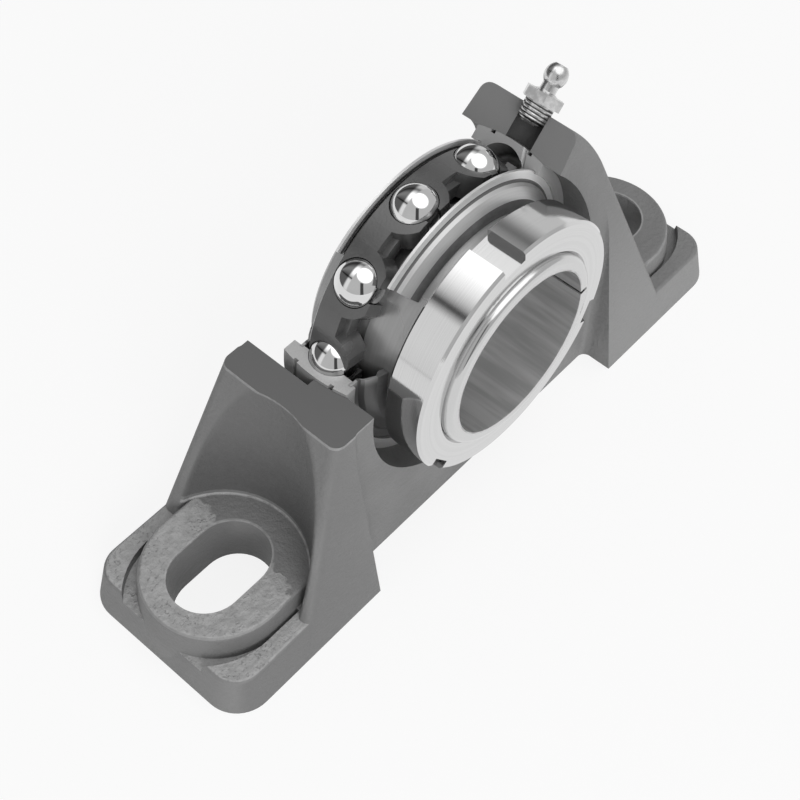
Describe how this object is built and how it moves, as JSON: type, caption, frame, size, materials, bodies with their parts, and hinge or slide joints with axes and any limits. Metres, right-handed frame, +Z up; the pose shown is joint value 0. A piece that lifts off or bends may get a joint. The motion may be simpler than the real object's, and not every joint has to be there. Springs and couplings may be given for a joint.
{
  "type": "pillow block ball bearing unit",
  "caption": "Cast pillow block with two slotted feet, cut open to show its spherical ball bearing insert, balls, cage, seals, slit inner ring, locking collar and grease nipple.",
  "frame": {"origin": "on the base, straight under the shaft's axis, at the middle of the casting's width", "axes": "+X along the base, towards the foot on the nipple's side; +Y along the shaft, away from the locking collar; +Z up"},
  "size_m": [0.206, 0.0599, 0.1046],
  "materials": {
    "casting": "grey paint over a sand-cast skin",
    "ring_steel": "ground bearing steel",
    "collar_steel": "bright turned steel",
    "ball_steel": "polished",
    "cage_polymer": "moulded, dark grey",
    "seal_steel": "pressed sheet",
    "seal_rubber": "moulded",
    "nipple_steel": "zinc plated",
    "spring_steel": "drawn wire"
  },
  "bodies": {
    "housing": {"housing": "casting", "grease_nipple": "nipple_steel", "nipple_spring": "spring_steel"},
    "insert": {"outer_ring": "ring_steel", "front_seal_shield": "seal_steel", "front_seal_lip": "seal_rubber", "rear_seal_shield": "seal_steel", "rear_seal_lip": "seal_rubber"},
    "inner": {"inner_ring": "ring_steel", "locking_collar": "collar_steel"},
    "cage": {"cage": "cage_polymer"},
    "ball_01": {"ball_01": "ball_steel"},
    "ball_02": {"ball_02": "ball_steel"},
    "ball_03": {"ball_03": "ball_steel"},
    "ball_04": {"ball_04": "ball_steel"},
    "ball_05": {"ball_05": "ball_steel"},
    "ball_06": {"ball_06": "ball_steel"},
    "ball_07": {"ball_07": "ball_steel"},
    "ball_08": {"ball_08": "ball_steel"},
    "ball_09": {"ball_09": "ball_steel"},
    "ball_10": {"ball_10": "ball_steel"},
    "nipple_valve": {"nipple_check_ball": "ball_steel"}
  },
  "joints": [
    {"name": "insert_tilt", "type": "hinge", "parent": "housing", "child": "insert", "pos_m": [0, 0, 0.0572], "axis": [1, 0, 0], "range_deg": [-2, 2]},
    {"name": "shaft_spin", "type": "hinge", "parent": "insert", "child": "inner", "pos_m": [0, 0, 0.0572], "axis": [0, 1, 0], "continuous": true},
    {"name": "cage_spin", "type": "hinge", "parent": "insert", "child": "cage", "pos_m": [0, 0, 0.0572], "axis": [0, 1, 0], "continuous": true},
    {"name": "ball_01_spin", "type": "hinge", "parent": "cage", "child": "ball_01", "pos_m": [0.01551, 0, 0.08913], "axis": [0, 1, 0], "continuous": true},
    {"name": "ball_02_spin", "type": "hinge", "parent": "cage", "child": "ball_02", "pos_m": [-0.00623, 0, 0.09215], "axis": [0, 1, 0], "continuous": true},
    {"name": "ball_03_spin", "type": "hinge", "parent": "cage", "child": "ball_03", "pos_m": [-0.02558, 0, 0.08182], "axis": [0, 1, 0], "continuous": true},
    {"name": "ball_04_spin", "type": "hinge", "parent": "cage", "child": "ball_04", "pos_m": [-0.03516, 0, 0.06208], "axis": [0, 1, 0], "continuous": true},
    {"name": "ball_05_spin", "type": "hinge", "parent": "cage", "child": "ball_05", "pos_m": [-0.03132, 0, 0.04048], "axis": [0, 1, 0], "continuous": true},
    {"name": "ball_06_spin", "type": "hinge", "parent": "cage", "child": "ball_06", "pos_m": [-0.01551, 0, 0.02527], "axis": [0, 1, 0], "continuous": true},
    {"name": "ball_07_spin", "type": "hinge", "parent": "cage", "child": "ball_07", "pos_m": [0.00623, 0, 0.02225], "axis": [0, 1, 0], "continuous": true},
    {"name": "ball_08_spin", "type": "hinge", "parent": "cage", "child": "ball_08", "pos_m": [0.02558, 0, 0.03258], "axis": [0, 1, 0], "continuous": true},
    {"name": "ball_09_spin", "type": "hinge", "parent": "cage", "child": "ball_09", "pos_m": [0.03516, 0, 0.05232], "axis": [0, 1, 0], "continuous": true},
    {"name": "ball_10_spin", "type": "hinge", "parent": "cage", "child": "ball_10", "pos_m": [0.03132, 0, 0.07392], "axis": [0, 1, 0], "continuous": true},
    {"name": "nipple_valve", "type": "slide", "parent": "housing", "child": "nipple_valve", "axis": [-0.7071, 0, -0.7071], "range_m": [0, 0.0008], "stiffness_N_per_m": 200, "springref_m": -0.0005, "deforming": ["nipple_spring"]}
  ],
  "couplings": [
    {"joint": "cage_spin", "follows": "shaft_spin", "ratio": 0.41056},
    {"joint": "ball_01_spin", "follows": "shaft_spin", "ratio": -2.7058},
    {"joint": "ball_02_spin", "follows": "shaft_spin", "ratio": -2.7058},
    {"joint": "ball_03_spin", "follows": "shaft_spin", "ratio": -2.7058},
    {"joint": "ball_04_spin", "follows": "shaft_spin", "ratio": -2.7058},
    {"joint": "ball_05_spin", "follows": "shaft_spin", "ratio": -2.7058},
    {"joint": "ball_06_spin", "follows": "shaft_spin", "ratio": -2.7058},
    {"joint": "ball_07_spin", "follows": "shaft_spin", "ratio": -2.7058},
    {"joint": "ball_08_spin", "follows": "shaft_spin", "ratio": -2.7058},
    {"joint": "ball_09_spin", "follows": "shaft_spin", "ratio": -2.7058},
    {"joint": "ball_10_spin", "follows": "shaft_spin", "ratio": -2.7058}
  ]
}
